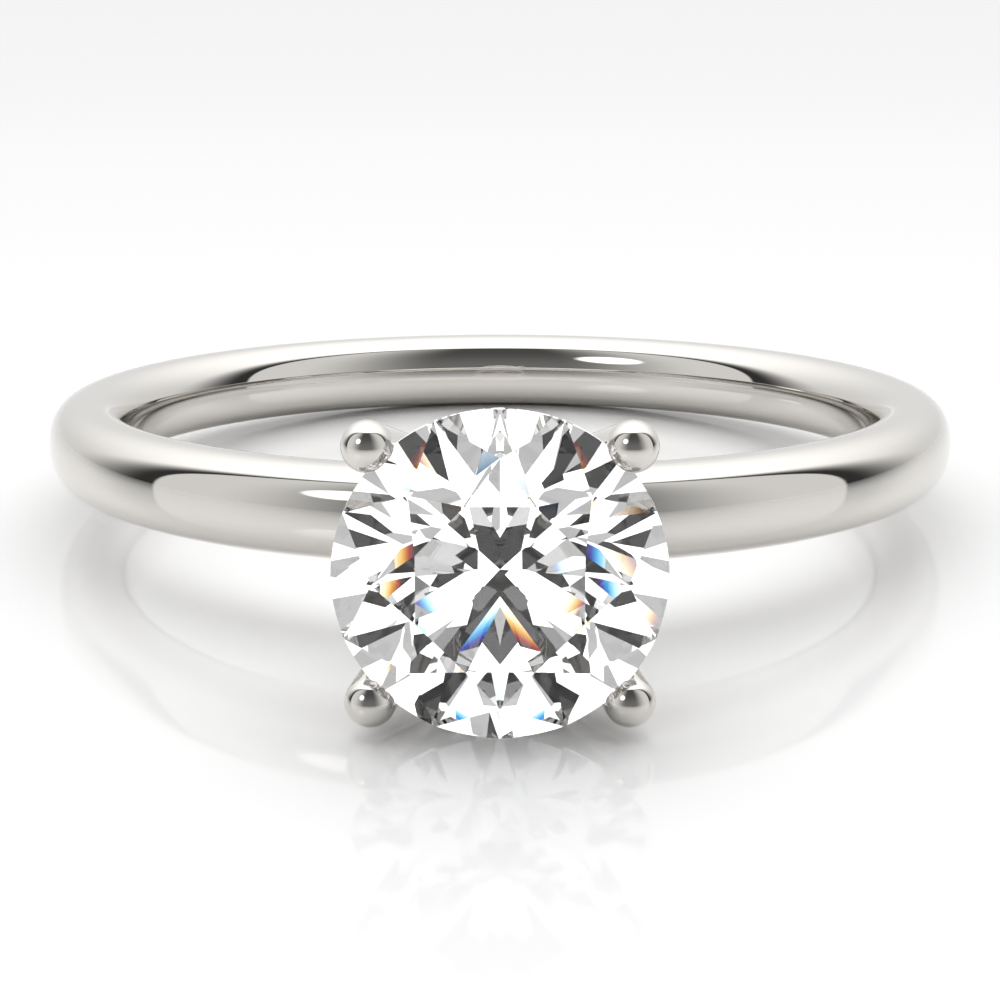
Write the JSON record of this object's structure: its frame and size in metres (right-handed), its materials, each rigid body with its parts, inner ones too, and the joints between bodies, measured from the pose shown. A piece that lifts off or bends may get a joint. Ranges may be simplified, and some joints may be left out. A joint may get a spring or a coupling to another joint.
{
  "type": "solitaire engagement ring",
  "caption": "Solitaire finger ring: rounded comfort-fit band with a ball-tipped prong head holding a round brilliant-cut stone.",
  "frame": {"origin": "centre of the finger hole, midway between the band's two side edges", "axes": "+Z along the finger, +X to the right seen from the stone's side, the stone's table faces -Y"},
  "size_m": [0.0208, 0.0257, 0.0058],
  "materials": {
    "white_gold": "mirror-polished white gold",
    "diamond": "polished, colourless, brilliant cut"
  },
  "bodies": {
    "root": {"shank": "white_gold", "head_peg": "white_gold", "lower_gallery_ring": "white_gold", "upper_gallery_ring": "white_gold", "prong_upper_left": "white_gold", "prong_upper_right": "white_gold", "prong_lower_left": "white_gold", "prong_lower_right": "white_gold", "centre_stone": "diamond"}
  },
  "joints": []
}
